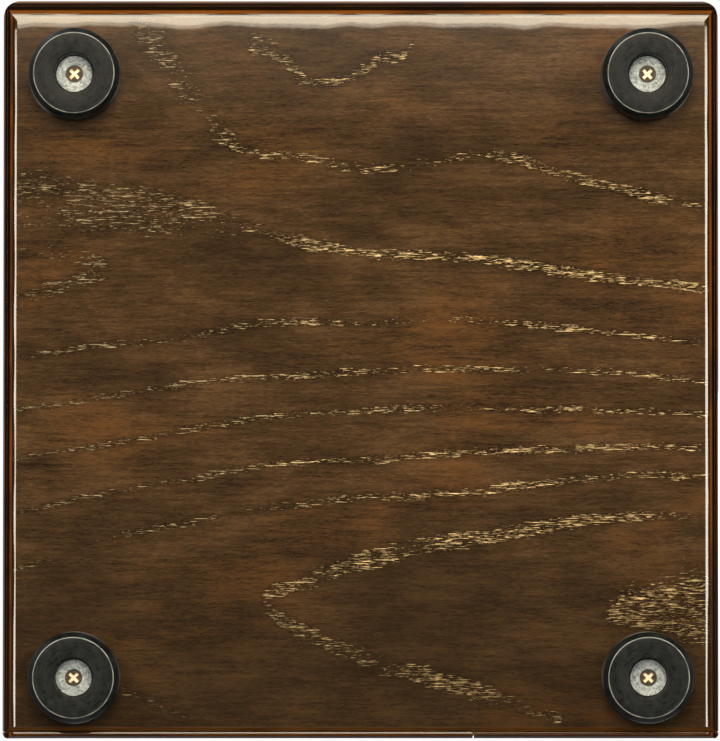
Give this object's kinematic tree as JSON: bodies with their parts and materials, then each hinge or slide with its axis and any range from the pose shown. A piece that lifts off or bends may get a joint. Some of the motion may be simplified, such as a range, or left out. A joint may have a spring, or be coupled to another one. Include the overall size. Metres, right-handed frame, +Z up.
{
  "type": "puzzle box",
  "caption": "Secret-opening wooden box on rubber feet: sliding front panel, geared bolt lock, pin-hinged lid and a hidden side drawer with a drop pin.",
  "frame": {"origin": "on the ground under the middle of the closed box", "axes": "+Z up, -Y towards the sliding front panel, +X towards the side that the panel slides to"},
  "size_m": [0.155, 0.16, 0.098],
  "materials": {
    "dark_ash": "dark-stained ash with pale open pores under gloss lacquer",
    "pale_ash": "oiled natural ash",
    "maple": "waxed maple",
    "brass": "brushed, lightly tarnished",
    "steel": "brushed",
    "zinc": "dull mottled zinc plate",
    "screw_brass": "yellow zinc plate",
    "rubber": "charcoal rubber with a soft sheen",
    "felt": "wool felt"
  },
  "bodies": {
    "case": {"base_board": "dark_ash", "left_wall": "dark_ash", "right_wall": "dark_ash", "back_wall": "dark_ash", "inner_front_board": "pale_ash", "front_cheek": "dark_ash", "front_top_rail": "dark_ash", "floor_board": "pale_ash", "false_wall": "pale_ash", "compartment_felt": "felt", "drawer_runner_front": "maple", "drawer_runner_back": "maple", "wall_dowels": "maple", "base_dowels": "maple", "left_hinge_pin": "brass", "right_hinge_pin": "brass", "left_bolt_guide": "maple", "right_lower_bolt_guide": "maple", "right_upper_bolt_guide": "maple", "guide_screws": "steel", "case_magnet": "steel", "foot_front_left": "rubber", "foot_front_right": "rubber", "foot_back_left": "rubber", "foot_back_right": "rubber", "foot_washers": "zinc", "foot_screws": "screw_brass"},
    "sliding_front": {"front_panel": "dark_ash", "panel_magnet": "steel", "panel_stop_pin": "brass"},
    "lock_rotor": {"lock_knob": "brass", "lock_spindle": "steel", "lock_pinion": "brass"},
    "left_bolt": {"left_bolt": "steel"},
    "right_bolt": {"right_bolt": "steel"},
    "lid": {"lid_board": "dark_ash", "lid_batten_left": "dark_ash", "lid_batten_right": "dark_ash", "left_keeper": "brass", "right_keeper": "brass", "keeper_screws": "steel"},
    "drawer": {"drawer_front": "dark_ash", "drawer_side_front": "pale_ash", "drawer_side_back": "pale_ash", "drawer_back": "pale_ash", "drawer_bottom": "pale_ash", "drawer_felt": "felt"},
    "drawer_lock": {"drawer_pin": "brass", "drawer_pin_knob": "dark_ash"}
  },
  "joints": [
    {"name": "front_panel_slide", "type": "slide", "parent": "case", "child": "sliding_front", "axis": [1, 0, 0], "range_m": [0, 0.035]},
    {"name": "right_bolt_slide", "type": "slide", "parent": "case", "child": "right_bolt", "axis": [-1, 0, 0], "range_m": [-0.00785, 0]},
    {"name": "left_bolt_slide", "type": "slide", "parent": "case", "child": "left_bolt", "axis": [1, 0, 0], "range_m": [-0.00785, 0]},
    {"name": "lock_turn", "type": "hinge", "parent": "case", "child": "lock_rotor", "pos_m": [-0.00668, -0.07, 0.072], "axis": [0, 1, 0], "range_deg": [-75, 0]},
    {"name": "lid_hinge", "type": "hinge", "parent": "case", "child": "lid", "pos_m": [0, 0.07515, 0.09315], "axis": [-1, 0, 0], "range_deg": [0, 92]},
    {"name": "drawer_slide", "type": "slide", "parent": "case", "child": "drawer", "axis": [-1, 0, 0], "range_m": [0, 0.11]},
    {"name": "drawer_pin_lift", "type": "slide", "parent": "case", "child": "drawer_lock", "axis": [0, 0, 1], "range_m": [-0.008, 0]}
  ],
  "couplings": [
    {"joint": "lock_turn", "follows": "right_bolt_slide", "rad_per_m": 166.67},
    {"joint": "left_bolt_slide", "follows": "right_bolt_slide", "ratio": 1}
  ]
}
